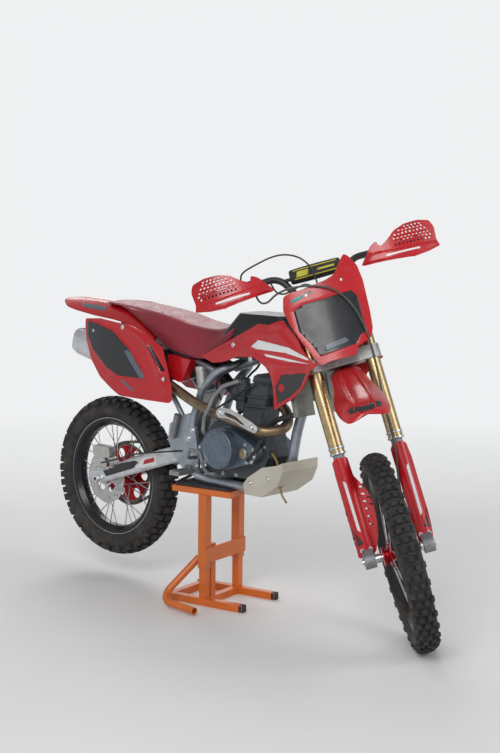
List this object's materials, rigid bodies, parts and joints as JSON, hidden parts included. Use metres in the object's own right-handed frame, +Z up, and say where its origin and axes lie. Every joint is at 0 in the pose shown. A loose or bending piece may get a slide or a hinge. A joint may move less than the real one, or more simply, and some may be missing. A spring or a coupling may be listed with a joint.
{
  "type": "motocross bike",
  "caption": "Motocross bike with knobby tyres, spoked wheels and hand guards, standing nose down on a lift stand, its steering turned to the right stop.",
  "frame": {"origin": "on the floor under the middle of the stand base", "axes": "+X forward along the bike, +Y to the rider's left, +Z up"},
  "size_m": [1.8513, 0.5984, 1.3047],
  "materials": {
    "tyre": "matte",
    "rim_black": "satin",
    "hub_metal": "satin",
    "disc_steel": "satin",
    "red_plastic": "gloss",
    "seat_vinyl": "matte",
    "pad_foam": "matte",
    "frame_silver": "satin",
    "fork_gold": "satin",
    "cast_grey": "satin",
    "black_control": "matte",
    "header_steel": "satin",
    "skid_beige": "matte",
    "stand_orange": "satin",
    "mat_rubber": "matte",
    "hose_rubber": "matte"
  },
  "bodies": {
    "bike_and_stand": {"air_box": "red_plastic", "crankcase": "cast_grey", "cylinder_head": "cast_grey", "drive_chain": "disc_steel", "engine_covers": "cast_grey", "foot_controls": "cast_grey", "frame_backbone": "frame_silver", "frame_downtube": "frame_silver", "fuel_tank": "red_plastic", "header_guard": "frame_silver", "header_pipe": "header_steel", "muffler": "frame_silver", "radiators": "frame_silver", "rear_axle": "disc_steel", "rear_caliper": "cast_grey", "rear_fender": "red_plastic", "seat": "seat_vinyl", "shock_absorber": "cast_grey", "shrouds": "red_plastic", "side_panels": "red_plastic", "skid_plate": "skid_beige", "stand_base": "stand_orange", "stand_lever": "stand_orange", "stand_lift": "stand_orange", "stand_mat": "mat_rubber", "subframe": "frame_silver", "swingarm": "frame_silver", "vent_hose": "hose_rubber"},
    "front_end": {"triple_clamps": "cast_grey", "fork_tubes": "fork_gold", "fork_lowers": "cast_grey", "fork_guards": "red_plastic", "number_plate": "red_plastic", "front_fender": "red_plastic", "handlebar": "black_control", "bar_pad": "pad_foam", "hand_controls": "black_control", "hand_guards": "red_plastic", "front_caliper": "cast_grey", "front_axle": "disc_steel"},
    "front_wheel": {"front_tyre": "tyre", "front_rim": "rim_black", "front_hub": "hub_metal", "front_disc": "disc_steel"},
    "rear_wheel": {"rear_tyre": "tyre", "rear_rim": "rim_black", "rear_hub": "hub_metal", "rear_disc": "disc_steel", "rear_sprocket": "hub_metal"}
  },
  "joints": [
    {"name": "steering", "type": "hinge", "parent": "bike_and_stand", "child": "front_end", "pos_m": [0.5037, 0, 0.9], "axis": [-0.3811, 0, 0.9245], "range_deg": [0, 91.8]},
    {"name": "front_wheel_spin", "type": "hinge", "parent": "front_end", "child": "front_wheel", "pos_m": [0.78873, -0.03763, 0.30416], "axis": [0.6639, 0.6959, 0.2737], "continuous": true},
    {"name": "rear_wheel_spin", "type": "hinge", "parent": "bike_and_stand", "child": "rear_wheel", "pos_m": [-0.523, 0, 0.363], "axis": [0, 1, 0], "continuous": true}
  ]
}
